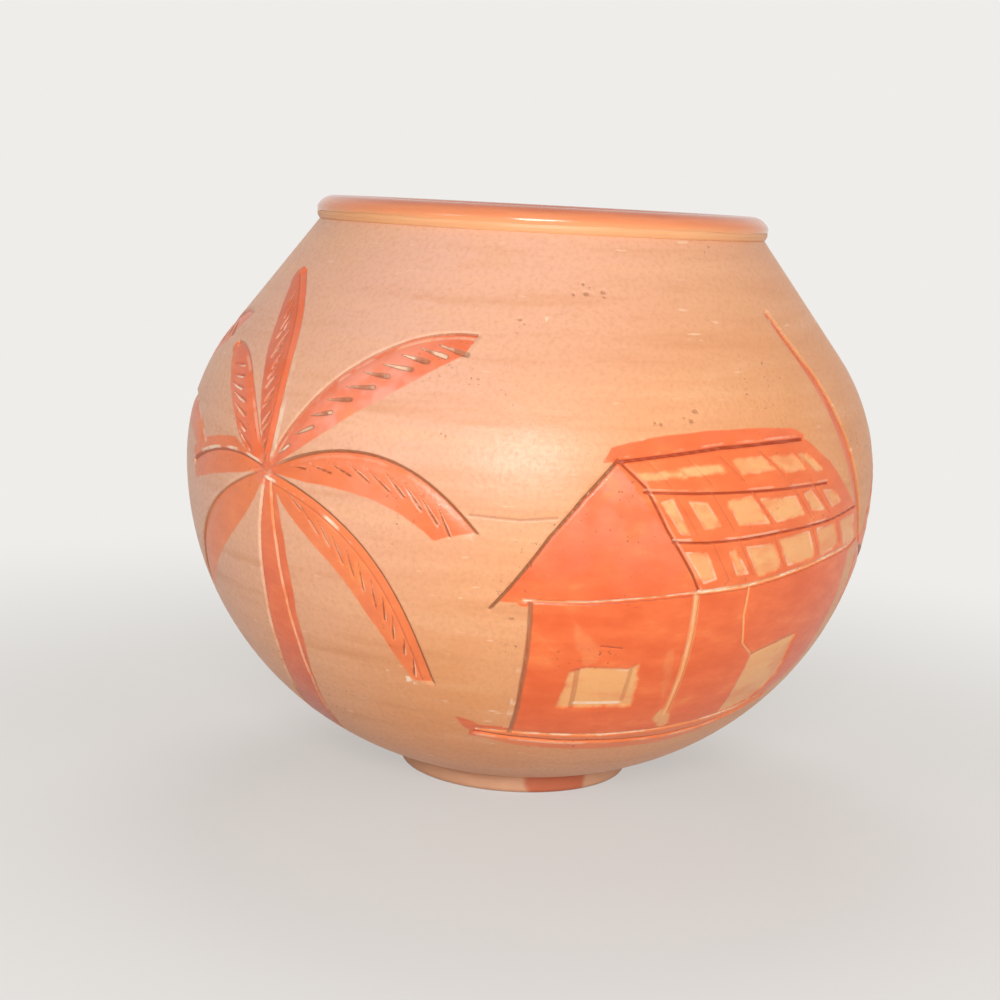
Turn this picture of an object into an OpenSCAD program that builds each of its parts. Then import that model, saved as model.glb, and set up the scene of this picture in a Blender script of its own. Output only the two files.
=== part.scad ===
/* [Body] */
// Greatest outside diameter of the thrown body
body_d = 120.8; // [117:0.2:124]
// Height of the widest point above the table
belly_z = 55.5; // [54.5:0.1:57]
// Radius of the outside arc below the widest point
lower_arc_r = 54.5; // [53.5:0.1:55]
// Radius of the outside arc above the widest point
upper_arc_r = 36; // [34:0.5:38]
// Inward run of the straight shoulder for each 1 mm of rise
shoulder_slope = 0.75; // [0.72:0.01:0.78]
// Height of the neck, where the rim roll is set on
neck_z = 96.4; // [95:0.1:98]
// Thickness of the thrown wall
wall_t = 4.5; // [3.5:0.1:6]
// Height of the flat underside of the floor
floor_z = 1.4; // [1.2:0.1:2]

/* [Foot ring] */
// Outside diameter of the foot ring
foot_d = 41; // [38:0.5:46]
// Width of the foot ring
foot_w = 6; // [4:0.5:8]
// Rounding of the foot ring's two lower edges
foot_edge_r = 1; // [0.6:0.1:1.2]

/* [Rim] */
// Height of the rim roll above the neck
rim_h = 3.6; // [3.5:0.1:5]
// Overhang of the rim roll outside the neck
rim_overhang = 0.5; // [0.2:0.1:1.2]
// Rounding of the rim roll's edges
rim_edge_r = 1.6; // [1:0.1:1.7]
// Thickness of the glaze on the lip
glaze_t = 0.4; // [0.3:0.05:0.6]
// Depth of the glaze below the top of the lip on the outside
glaze_lap = 2; // [1.7:0.1:2.4]

/* [Slip painting] */
// Thickness of the slip coat
slip_t = 0.3; // [0.2:0.05:0.6]
// Width of the incised lines that part the slip fields
line_w = 0.8; // [0.5:0.1:1.2]
// Width of the gouges across a frond
gouge_w = 0.6; // [0.4:0.1:0.9]

/* [Palms] */
// Turn of the first two palms about the axis, to the right of the front
palm_turn = [-43, -104]; // [-180:1:180]
// Way along the clay from the roof's far corner to the crown of the palm behind the hut
back_gap = 3.9; // [3.5:0.1:6]
// Height of each palm's crown
palm_crown_z = [58.5, 59.5, 47]; // [45:0.5:61]
// Clear space round the crown before the fronds begin
crown_gap = 2.4; // [2:0.1:3]
// Width of a trunk below its crown
trunk_top_w = 2.6; // [2:0.1:3.5]
// Width of a trunk at its foot
trunk_foot_w = 10; // [7:0.2:11]

/* [Hut] */
// Turn of the hut's front corner about the axis, to the right of the front
hut_turn = 28; // [24:0.5:32]
// Height of the sill under the walls
sill_z = 19.4; // [18.5:0.1:21]
// Height of the eaves at the front corner
eave_z = 43.4; // [42:0.1:45]
// Height of the gable's point
apex_z = 64.4; // [62:0.1:66]
// Width of the gable at the eaves
gable_w = 30.5; // [28:0.5:32]
// Width of the front wall under the eaves
front_w = 26.5; // [24:0.5:28]
// Lean of the front wall's outer edge, inward at the foot
front_lean = 4; // [2:0.5:5]
// Lean of the front corner, outward at the foot
corner_lean = 1.6; // [0:0.2:3]
// Swell of the gable's outer slope
gable_bow = 0.9; // [0:0.1:1.5]
// Length of the roof along its ridge
ridge_len = 35; // [30:0.5:37]
// Length of the roof along its eave
eave_len = 37.4; // [35:0.2:40]
// Rise of the ridge from the gable to its far end
ridge_rise = 2.6; // [1.5:0.1:3.5]
// Rise of the eave from the front corner to its far end
eave_rise = 6.4; // [4:0.2:8]
// Thickness of the ridge cap
ridge_t = 2.4; // [1.8:0.1:3]
// Length of the side wall under the eave
side_w = 34.5; // [32:0.5:36]
// Rise of the sill along the side wall
sill_rise = 8; // [4:0.5:9]
// Distance from the front corner to the post in the side wall
post_x = 9; // [7:0.5:11]
// Length of the post in the side wall
post_h = 10; // [8:0.5:11]
// Lean of the post, outward at its foot
post_lean = 1.5; // [0:0.1:2]
// Share of the slope above each line between courses, at the gable
course_near = [0.21, 0.58]; // [0.1:0.01:0.9]
// Share of the slope above each line between courses, at the far end
course_far = [0.42, 0.7]; // [0.1:0.01:0.9]
// Number of pale tiles in a roof course
tile_n = 6; // [4:1:7]
// Width and height of the window in the front wall
window_size = [10, 7.4]; // [5:0.1:12]
// Place of the window's lower left corner from the front wall's foot
window_at = [5.2, 5.4]; // [3:0.1:8]
// Width and height of the doorway in the side wall
door_size = [10.4, 11]; // [6:0.1:14]
// Distance from the front corner to the doorway
door_x = 13.4; // [12:0.1:16]
// Thickness of the ground line under the hut
ground_t = 1.7; // [1.2:0.1:2.2]
// Reach of the ground line to the left and right of the front corner
ground_reach = [31, 24]; // [20:0.5:34]
// Drop of the ground line in its middle
ground_sag = 9.5; // [8:0.5:12]

/* [Hidden] */
$fn = 96;
belly_r = body_d / 2;
lower_c = belly_r - lower_arc_r;
upper_c = belly_r - upper_arc_r;
shoulder_n = [1, shoulder_slope] / norm([1, shoulder_slope]);
foot_r = foot_d / 2;
neck_r = shoulder_r(neck_z, 0);
mouth_r = shoulder_r(neck_z, -wall_t);
rim_r = neck_r + rim_overhang;
rim_top = neck_z + rim_h;
slip_angle = 116;
curve_steps = 10;
course_n = len(course_near) + 1;
back_turn = hut_turn + asin(eave_len / belly_r) + back_gap / belly_r * 180 / PI;

// Each frond: bend of its rib and its tip, right and up from the crown, its width, how fast it
// opens at the crown, the share of the width left at the tip, and the number of gouges across it
palm_fronds = [
  [[11.8, 24.3], [28.2, 23], 8, 4.6, 0.4, 10],
  [[3, 19.5], [-12.5, 30.5], 6.4, 3, 0.5, 10],
  [[-9.5, 18.7], [-20.5, 18], 5.4, 5, 0.25, 6],
  [[-10.8, 4.2], [-25.5, -2], 4, 3.6, 0.8, 0],
  [[-22.5, -7], [-28, -23.5], 7.2, 7, 0.4, 0],
  [[23.3, 11.9], [36, -6], 6.4, 5.5, 0.6, 9],
  [[27.2, -5.7], [25.1, -32.3], 6.8, 7, 0.35, 10]
];
// The second palm's sixth frond, which reaches toward the first palm
reach_frond = [[22, 10], [32, 1.5], 4.8, 5, 0.4, 7];
// The palm that stands behind the hut
back_fronds = [
  [[-6, 16], [-15, 38.5], 2.6, 5, 0.3, 0],
  [[6, 17], [22, 22], 5, 5, 0.4, 7],
  [[16, 11], [30, -4], 6, 5, 0.4, 8],
  [[18, -3], [22, -24], 5.6, 5, 0.35, 8]
];
// Bend and foot of the trunks
palm_trunk = [[2.6, -27], [-7.4, -44.5]];
back_trunk = [[3, -18], [8, -33]];

apex = [-gable_w / 2, apex_z];
gable_left = [-gable_w, eave_z];
corner_top = [0, eave_z];
corner_foot = [corner_lean, sill_z];
front_foot = [front_lean - front_w, sill_z];
gable_bend = (apex + gable_left) / 2 + gable_bow * 2 * [-1, 1] / norm([1, 1]);
ridge_far = apex + [ridge_len, ridge_rise];
eave_far = corner_top + [eave_len, eave_rise];

// Point where the upper arc runs into the straight shoulder, moved out by d
function shoulder_start(d) = [upper_c, belly_z] + (upper_arc_r + d) * shoulder_n;

// Radius of the straight shoulder at a height, moved out by d
function shoulder_r(z, d) =
  let (p = shoulder_start(d))
  p.x - shoulder_slope * (z - p.y);

// Half outline of the globe from base to top, moved out by d: two arcs and a straight shoulder
module globe(d, base, top) {
  p = shoulder_start(d);
  low = max(base, belly_z - lower_arc_r - d);
  if (lower_c > 0)
    translate([0, low])
      square([lower_c, belly_z - low]);
  intersection() {
    translate([lower_c, belly_z])
      circle(r = lower_arc_r + d);
    translate([0, base])
      square([body_d, belly_z - base]);
  }
  intersection() {
    translate([upper_c, belly_z])
      circle(r = upper_arc_r + d);
    translate([0, belly_z])
      square([body_d, p.y - belly_z]);
  }
  polygon([[0, belly_z], [upper_c, belly_z], p, [shoulder_r(top, d), top], [0, top]]);
}

module body() {
  color("#d9a27c")
    rotate_extrude()
      difference() {
        globe(0, floor_z, neck_z);
        globe(-wall_t, 0, neck_z + wall_t);
      }
}

// The ring's top follows the underside of the globe
module foot_ring() {
  inner_x = foot_r - foot_w;
  color("#dfaa88")
    rotate_extrude()
      difference() {
        union() {
          translate([inner_x, foot_edge_r])
            square([foot_w, belly_z / 2]);
          translate([inner_x + foot_edge_r, 0])
            square([foot_w - 2 * foot_edge_r, belly_z / 2]);
          for (x = [inner_x + foot_edge_r, foot_r - foot_edge_r])
            translate([x, foot_edge_r])
              circle(r = foot_edge_r);
        }
        globe(0, floor_z, neck_z);
      }
}

// Section of the lip, square where it stands on the neck inside and rounded elsewhere, grown by g
module lip(g) {
  r = rim_edge_r + g;
  in_x = mouth_r + rim_edge_r;
  out_x = rim_r - rim_edge_r;
  low_z = neck_z + rim_edge_r;
  high_z = rim_top - rim_edge_r;
  translate([mouth_r - g, neck_z])
    square([out_x - mouth_r + g, high_z - neck_z]);
  translate([in_x, neck_z])
    square([out_x - in_x, rim_h + g]);
  translate([in_x, low_z])
    square([out_x - in_x + r, high_z - low_z]);
  translate([in_x, high_z])
    circle(r = r);
  for (z = [low_z, high_z])
    translate([out_x, z])
      circle(r = r);
}

module rim_roll() {
  color("#c98a66")
    rotate_extrude()
      lip(0);
}

// The glaze lies over the lip, down to the neck inside and part of the way down outside
module rim_glaze() {
  color("#b0573a")
    rotate_extrude()
      intersection() {
        difference() {
          lip(glaze_t);
          lip(0);
        }
        union() {
          translate([mouth_r - glaze_t, neck_z])
            square([glaze_t + rim_edge_r, rim_h + glaze_t]);
          translate([mouth_r, rim_top - glaze_lap])
            square([rim_r, glaze_lap + glaze_t]);
        }
      }
}

// Slip on the globe where a flat drawing, turned to face outward, falls on it
module slip(turn) {
  color("#d2633d")
    rotate([0, 0, turn])
      intersection() {
        rotate([0, 0, -90 - slip_angle / 2])
          rotate_extrude(angle = slip_angle)
            difference() {
              globe(slip_t, foot_edge_r + floor_z, neck_z - rim_h);
              globe(0, floor_z, neck_z);
            }
        rotate([90, 0, 0])
          linear_extrude(height = body_d)
            children();
      }
}

// A straight incised line from a to b
module line(a, b, w) {
  d = b - a;
  translate(a)
    rotate(atan2(d.y, d.x))
      translate([-w / 2, -w / 2])
        square([norm(d) + w, w]);
}

// Point s of the way along a curve from a to c that bends at b, and the unit vector to its left
function curve(a, b, c, s) = (1 - s) * (1 - s) * a + 2 * s * (1 - s) * b + s * s * c;
function curve_left(a, b, c, s) =
  let (d = (1 - s) * (b - a) + s * (c - b))
  [-d.y, d.x] / norm(d);

// A curved band, w0 wide at a and w1 wide at c
module band(a, b, c, w0, w1) {
  edge = function (side, s)
    curve(a, b, c, s) + side * (w0 + s * (w1 - w0)) / 2 * curve_left(a, b, c, s);
  polygon(concat(
    [for (i = [0 : curve_steps]) edge(1, i / curve_steps)],
    [for (i = [curve_steps : -1 : 0]) edge(-1, i / curve_steps)]
  ));
}

// Width of a frond s of the way along its rib, from its widest w, its opening and its share at the tip
function frond_width(w, open, end, s) = w * (1 - pow(max(0, 1 - s), open)) * (1 - (1 - end) * pow(s, 5));

// A frond that hangs below its rib, with n gouges across it
module frond(bend, tip, w, open, end, n) {
  side = tip.x < 0 ? 1 : -1;
  first = crown_gap / (2 * norm(bend));
  across = function (s, share)
    curve([0, 0], bend, tip, s)
    + side * share * frond_width(w, open, end, s) * curve_left([0, 0], bend, tip, s);
  at = function (i) first + (1 - first) * i / curve_steps;
  difference() {
    polygon(concat(
      [for (i = [0 : curve_steps]) across(at(i), 0)],
      [for (i = [curve_steps : -1 : 0]) across(at(i), 1)]
    ));
    for (k = [1 : 1 : n]) {
      s = 0.16 + 0.78 * k / n;
      line(across(s - 0.05, 0.2), across(s, 0.66), gouge_w);
    }
  }
}

function turn_of(palm) = palm == 3 ? back_turn : palm_turn[palm - 1];
function frond_of(palm, i) = palm == 3 ? back_fronds[i] : palm == 2 && i == 5 ? reach_frond : palm_fronds[i];

module palm_frond(palm, i) {
  f = frond_of(palm, i - 1);
  slip(turn_of(palm))
    translate([0, palm_crown_z[palm - 1]])
      frond(f[0], f[1], f[2], f[3], f[4], f[5]);
}

module palm_trunk(palm) {
  points = palm == 3 ? back_trunk : palm_trunk;
  slip(turn_of(palm))
    translate([0, palm_crown_z[palm - 1]])
      band([0, -crown_gap], points[0], points[1], trunk_top_w, trunk_foot_w);
}

// The incised lines that outline the hut
module hut_lines() {
  band(gable_left, gable_bend, apex, line_w, line_w);
  line(apex, ridge_far, line_w);
  line(gable_left, corner_top, line_w);
  line(corner_top, eave_far, line_w);
  line(apex, corner_top, line_w);
  line(corner_top, corner_foot, line_w);
}

module hut_gable() {
  slip(hut_turn)
    difference() {
      polygon(concat(
        [corner_top],
        [for (i = [0 : curve_steps]) curve(apex, gable_bend, gable_left, i / curve_steps)]
      ));
      hut_lines();
    }
}

module hut_front_wall() {
  slip(hut_turn)
    difference() {
      polygon([corner_top - [front_w, 0], front_foot, corner_foot, corner_top]);
      hut_lines();
      translate(front_foot + window_at)
        square(window_size);
    }
}

// Height of the sill below the side wall, and the wall's foot s of the way from the corner
function side_sill(x) = sill_z + sill_rise * pow(x / side_w, 2);
function side_foot(s) =
  let (x = corner_lean + s * (side_w - corner_lean))
  [x, s == 0 ? sill_z : side_sill(x)];

module hut_side_wall() {
  slip(hut_turn)
    difference() {
      polygon(concat(
        [corner_top, corner_top + side_w / eave_len * [eave_len, eave_rise]],
        [for (i = [curve_steps : -1 : 0]) side_foot(i / curve_steps)]
      ));
      hut_lines();
      translate([door_x, side_sill(door_x) + line_w])
        square(door_size);
      line([post_x, eave_z], [post_x + post_lean, eave_z - post_h], line_w);
    }
}

// The ridge cap swells above the ridge line and runs out past the gable
module hut_ridge() {
  nose = [-line_w * 3, 0];
  slip(hut_turn)
    difference() {
      polygon([apex + nose, ridge_far, (apex + ridge_far + nose) / 2 + [0, ridge_t], apex + [0, ridge_t]]);
      hut_lines();
    }
}

// Point of the roof, s of the way from the gable to the far end and t of the way down from the ridge
function roof_point(s, t) =
  (1 - t) * (apex + s * (ridge_far - apex)) + t * (corner_top + s * (eave_far - corner_top));

// Share of the slope at the line below course i, s of the way from the gable
function course_end(i, s) =
  i == 0 ? 0 : i == course_n ? 1 : (1 - s) * course_near[i - 1] + s * course_far[i - 1];

// Point of course i, s of the way from the gable and u of the way down the course
function course_point(i, s, u) = roof_point(s, (1 - u) * course_end(i - 1, s) + u * course_end(i, s));

// A course of the roof between two incised lines, painted round its pale tiles
module hut_course(i) {
  patch = function (s0, s1, u0, u1)
    [course_point(i, s0, u0), course_point(i, s1, u0), course_point(i, s1, u1), course_point(i, s0, u1)];
  slip(hut_turn)
    difference() {
      polygon(patch(0, 1, 0, 1));
      hut_lines();
      for (u = [0, 1])
        line(course_point(i, 0, u), course_point(i, 1, u), line_w);
      for (k = [0 : tile_n - 1])
        polygon(patch((k + 0.4) / tile_n, (k + 0.85) / tile_n, 0.25, 0.8));
    }
}

module hut_ground() {
  left = [-ground_reach[0], sill_z + line_w];
  right = [ground_reach[1], sill_z + line_w];
  slip(hut_turn)
    band(left, (left + right) / 2 - [0, ground_sag], right, ground_t, ground_t);
}

body();
foot_ring();
rim_roll();
rim_glaze();
for (p = [1 : 3]) {
  palm_trunk(p);
  for (i = [1 : len(p == 3 ? back_fronds : palm_fronds)])
    palm_frond(p, i);
}
hut_gable();
hut_front_wall();
hut_side_wall();
hut_ridge();
for (i = [1 : course_n])
  hut_course(i);
hut_ground();
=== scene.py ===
import math
import bpy
import numpy as np
from mathutils import Matrix, Vector


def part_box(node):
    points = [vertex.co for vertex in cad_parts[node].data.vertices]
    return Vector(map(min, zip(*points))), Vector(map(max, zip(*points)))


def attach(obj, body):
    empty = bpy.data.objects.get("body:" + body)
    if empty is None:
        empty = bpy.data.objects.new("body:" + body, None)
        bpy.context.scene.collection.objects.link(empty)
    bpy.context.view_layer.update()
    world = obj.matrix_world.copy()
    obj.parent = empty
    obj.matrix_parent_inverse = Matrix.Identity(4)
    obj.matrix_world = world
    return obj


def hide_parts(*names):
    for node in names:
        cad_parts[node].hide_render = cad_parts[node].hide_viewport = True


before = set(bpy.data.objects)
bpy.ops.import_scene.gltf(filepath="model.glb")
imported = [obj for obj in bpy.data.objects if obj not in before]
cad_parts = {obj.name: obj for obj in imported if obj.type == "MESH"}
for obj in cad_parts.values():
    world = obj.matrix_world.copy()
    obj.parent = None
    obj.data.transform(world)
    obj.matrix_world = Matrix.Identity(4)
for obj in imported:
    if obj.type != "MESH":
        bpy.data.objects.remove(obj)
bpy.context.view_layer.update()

mm = 0.001
print("frame loaded with", len(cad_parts), "solids")


def linear(hexColour):
    parts = [int(hexColour[i:i + 2], 16) / 255 for i in (1, 3, 5)]
    return [c / 12.92 if c <= 0.04045 else ((c + 0.055) / 1.055) ** 2.4 for c in parts] + [1]


# adds a node, sets its options, and sets or links its sockets;
# a node given as a value gives its first live output
def put(tree, kind, sockets=None, **options):
    node = tree.nodes.new("ShaderNode" + kind)
    for name, value in options.items():
        setattr(node, name, value)
    for key, value in (sockets or {}).items():
        if isinstance(value, bpy.types.Node):
            value = next(out for out in value.outputs if out.enabled)
        if isinstance(value, bpy.types.NodeSocket):
            tree.links.new(value, node.inputs[key])
        else:
            node.inputs[key].default_value = value
    return node


def newMaterial(name):
    material = bpy.data.materials.new(name)
    material.use_nodes = True
    material.node_tree.nodes.clear()
    return material, material.node_tree


def finishPiece(piece, material, nodes, angle):
    bpy.ops.object.select_all(action="DESELECT")
    piece.select_set(True)
    bpy.context.view_layer.objects.active = piece
    bpy.ops.object.shade_smooth_by_angle(angle=math.radians(angle))
    piece.data.materials.clear()
    piece.data.materials.append(material)
    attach(piece, "root")
    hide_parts(*nodes)
    print(piece.name, "has", sum(len(p.vertices) - 2 for p in piece.data.polygons), "triangles")


# a vertex is drawn out along an outline of (radius, height) in mm and spun once round the pot's axis
def turnOnWheel(name, outline, steps):
    bpy.ops.object.select_all(action="DESELECT")
    bpy.ops.mesh.primitive_plane_add(size=mm, location=(0, 0, 0))
    piece = bpy.context.object
    piece.name = piece.data.name = name
    bpy.context.tool_settings.mesh_select_mode = (True, False, False)
    bpy.ops.object.mode_set(mode="EDIT")
    bpy.ops.mesh.select_all(action="SELECT")
    bpy.ops.mesh.merge(type="CENTER")
    bpy.ops.transform.translate(value=(outline[0][0] * mm, 0, outline[0][1] * mm))
    for (r0, z0), (r1, z1) in zip(outline, outline[1:]):
        step = ((r1 - r0) * mm, 0, (z1 - z0) * mm)
        bpy.ops.mesh.extrude_vertices_move(TRANSFORM_OT_translate={"value": step})
    bpy.ops.mesh.select_all(action="SELECT")
    bpy.ops.mesh.spin(steps=steps, angle=2 * math.pi, center=(0, 0, 0), axis=(0, 0, 1))
    bpy.ops.mesh.select_all(action="SELECT")
    bpy.ops.mesh.remove_doubles(threshold=0.01 * mm)
    bpy.ops.mesh.normals_make_consistent(inside=False)
    bpy.ops.object.mode_set(mode="OBJECT")
    return piece


# camera: a handheld close view, level with the rim and tipped
view = {"distance": 332.8, "height": 102.0, "pitch": 9.24, "yaw": -0.83, "roll": 3.02,
        "focalPixels": 1877.8, "imagePixels": 1000, "sensor": 36, "nearest": 0.01}


def setCamera():
    pitch, yaw, roll = (math.radians(view[k]) for k in ("pitch", "yaw", "roll"))
    ahead = Vector((math.sin(yaw) * math.cos(pitch), math.cos(yaw) * math.cos(pitch), -math.sin(pitch)))
    level = Vector((math.cos(yaw), -math.sin(yaw), 0))
    upright = level.cross(ahead)
    right = math.cos(roll) * level + math.sin(roll) * upright
    up = math.cos(roll) * upright - math.sin(roll) * level
    bpy.ops.object.camera_add()
    camera = bpy.context.object
    camera.matrix_world = Matrix((right, up, -ahead)).transposed().to_4x4()
    camera.location = (0, -view["distance"] * mm, view["height"] * mm)
    camera.data.sensor_width = view["sensor"]
    camera.data.lens = view["focalPixels"] * view["sensor"] / view["imagePixels"]
    camera.data.clip_start = view["nearest"]
    bpy.context.scene.camera = camera


setCamera()
bpy.context.scene.view_settings.view_transform = "Standard"
print("camera set")

# a soft lamp above the camera, a small one to its left, weak ones to the right and behind, and an even fill;
# each gives its place, width, height, power, and whether the gloss shows it
light = {"aim": (0, 0, 0.06), "fill": 0.2, "fillColour": "#fff6ee", "seen": "#efedea",
         "lamps": [((-0.01, -0.5, 0.21), 0.22, 0.18, 2.0, True),
                   ((-0.35, -0.37, 0.21), 0.16, 0.03, 0.24, True),
                   ((0.42, -0.32, 0.16), 0.2, 0.2, 0.6, False),
                   ((0, 0.45, 0.55), 0.4, 0.4, 2.2, False)]}


# camera, glossy and transmission rays see the pale studio, all others the fill
def raySwitch(tree):
    rays = put(tree, "LightPath").outputs
    seen = put(tree, "Math", {0: rays["Is Camera Ray"], 1: rays["Is Glossy Ray"]}, operation="MAXIMUM")
    return put(tree, "Math", {0: seen, 1: rays["Is Transmission Ray"]}, operation="MAXIMUM")


def setLight():
    for place, wide, tall, power, shows in light["lamps"]:
        bpy.ops.object.light_add(type="AREA", location=place)
        lamp = bpy.context.object
        lamp.data.shape = "ELLIPSE"
        lamp.data.size, lamp.data.size_y = wide, tall
        lamp.data.energy = power
        lamp.rotation_euler = (Vector(light["aim"]) - Vector(place)).to_track_quat("-Z", "Y").to_euler()
        lamp.visible_glossy = shows
    world = bpy.data.worlds.new("studioFill")
    world.use_nodes = True
    tree = world.node_tree
    tree.nodes.clear()
    fill = put(tree, "Background", {"Color": linear(light["fillColour"]), "Strength": light["fill"]})
    seen = put(tree, "Background", {"Color": linear(light["seen"]), "Strength": 1.0})
    pick = put(tree, "MixShader", {0: raySwitch(tree), 1: fill, 2: seen})
    put(tree, "OutputWorld", {"Surface": pick})
    bpy.context.scene.world = world


setLight()

# round floor that runs out into the pale studio
floorShape = {"radius": 3.0, "board": ("#c4c1bd", "#cccac6"), "fade": (0.05, 0.24), "nearShare": 0.52}


def setFloor():
    bpy.ops.object.select_all(action="DESELECT")
    bpy.ops.mesh.primitive_circle_add(vertices=96, radius=floorShape["radius"], fill_type="NGON")
    floor = bpy.context.object
    floor.name = "studioFloor"
    # painted board: pale, dull and nearly even; further out it shows as the plain studio
    material, tree = newMaterial("pale painted board")
    place = put(tree, "TexCoord").outputs["Object"]
    mottle = put(tree, "TexNoise", {0: place, "Scale": 6.0, "Detail": 2.0})
    dark, pale = (linear(c) for c in floorShape["board"])
    colour = put(tree, "Mix", {0: mottle, 6: dark, 7: pale}, data_type="RGBA")
    board = put(tree, "BsdfPrincipled", {"Base Color": colour, "Roughness": 0.85})
    plain = put(tree, "Emission", {"Color": linear(light["seen"]), "Strength": 1.0})
    away = put(tree, "VectorMath", {0: place}, operation="LENGTH")
    start, end = floorShape["fade"]
    share = put(tree, "MapRange", {0: away, 1: start, 2: end, 3: floorShape["nearShare"], 4: 1.0},
                interpolation_type="SMOOTHSTEP")
    share = put(tree, "Math", {0: share, 1: raySwitch(tree)}, operation="MULTIPLY")
    surface = put(tree, "MixShader", {0: share, 1: board, 2: plain})
    put(tree, "OutputMaterial", {"Surface": surface})
    floor.data.materials.append(material)


setFloor()
print("light and floor set")

# thrown pot: two arcs and a straight shoulder, as the solids have them, in mm.
# rounds gives how near a line the faces are halved each time, front how far round the later rounds go, in
# degrees; skin is how deep a point still counts as outer wall, burrOff how deep a cut is where its burr ends
pot = {"bellyZ": 55.5, "lowerArc": 54.5, "upperArc": 36.0, "slope": 0.75, "wall": 4.5,
       "row": 1.8, "innerRow": 4.0, "steps": 208,
       "rounds": (1.7, 0.95, 0.4), "front": 88, "skin": 1.5, "burrOff": 0.03}
potLow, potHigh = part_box("body")
pot["bellyR"] = min(potHigh.x, potHigh.y, -potLow.x, -potLow.y) / mm
pot["floorZ"] = potLow.z / mm
pot["neckZ"] = potHigh.z / mm


def wallOutline(offset, base, row):
    low, high = pot["lowerArc"] + offset, pot["upperArc"] + offset
    lowX, highX = pot["bellyR"] - pot["lowerArc"], pot["bellyR"] - pot["upperArc"]
    start = math.asin(max(-1, (base - pot["bellyZ"]) / low))
    lean = math.atan(pot["slope"])
    points = [(lowX + low * math.cos(a), pot["bellyZ"] + low * math.sin(a))
              for a in np.linspace(start, 0, math.ceil(-start * low / row) + 1)]
    points += [(highX + high * math.cos(a), pot["bellyZ"] + high * math.sin(a))
               for a in np.linspace(0, lean, math.ceil(lean * high / row) + 1)[1:]]
    r, z = points[-1]
    rise = pot["neckZ"] - z
    return points + [(r - pot["slope"] * rise * t, z + rise * t)
                     for t in np.linspace(0, 1, math.ceil(math.hypot(1, pot["slope"]) * rise / row) + 1)[1:]]


def wallRadius(z):
    outline = np.array(wallOutline(0, pot["floorZ"], row=0.3))
    return np.interp(z, outline[:, 1], outline[:, 0])


def throwPot():
    outside = wallOutline(0, pot["floorZ"], pot["row"])
    inside = wallOutline(-pot["wall"], 0, pot["innerRow"])
    underside = [(r, pot["floorZ"]) for r in np.linspace(0, outside[0][0], 6)[:-1]]
    neck = [((outside[-1][0] + inside[-1][0]) / 2, pot["neckZ"])]
    outline = underside + outside + neck + inside[::-1] + [(0, inside[0][1])]
    return turnOnWheel("potBody", outline, pot["steps"])


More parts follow.
